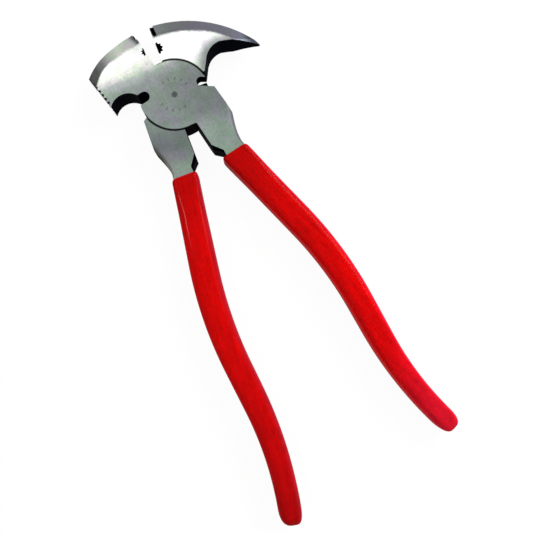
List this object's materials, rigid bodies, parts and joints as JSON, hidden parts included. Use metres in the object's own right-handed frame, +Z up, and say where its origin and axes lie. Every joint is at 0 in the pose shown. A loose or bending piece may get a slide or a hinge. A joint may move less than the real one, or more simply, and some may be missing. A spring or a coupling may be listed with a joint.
{
  "type": "fencing pliers",
  "caption": "Fencing pliers with a waffle-faced hammer jaw, a curved claw jaw, round cutter slots in a flat lap joint and long curved handles in smooth dipped grips.",
  "frame": {"origin": "on the pivot axis, at the resting face of the tool as it lies flat", "axes": "+Z up along the pivot axis; +Y along the centre line from the handles to the head; +X towards the claw"},
  "size_m": [0.1022, 0.2588, 0.016],
  "materials": {
    "forged_steel": "ground faces, dark as-forged edges",
    "rivet_steel": "ground flush",
    "red_grip": "glossy dipped vinyl"
  },
  "bodies": {
    "claw_lever": {"claw_half": "forged_steel", "claw_grip": "red_grip"},
    "hammer_lever": {"hammer_half": "forged_steel", "hammer_grip": "red_grip", "pivot_rivet": "rivet_steel"}
  },
  "joints": [
    {"name": "pivot_hinge", "type": "hinge", "parent": "claw_lever", "child": "hammer_lever", "pos_m": [0, 0, 0.008], "axis": [0, 0, 1], "range_deg": [-12.7, 22.3]}
  ]
}
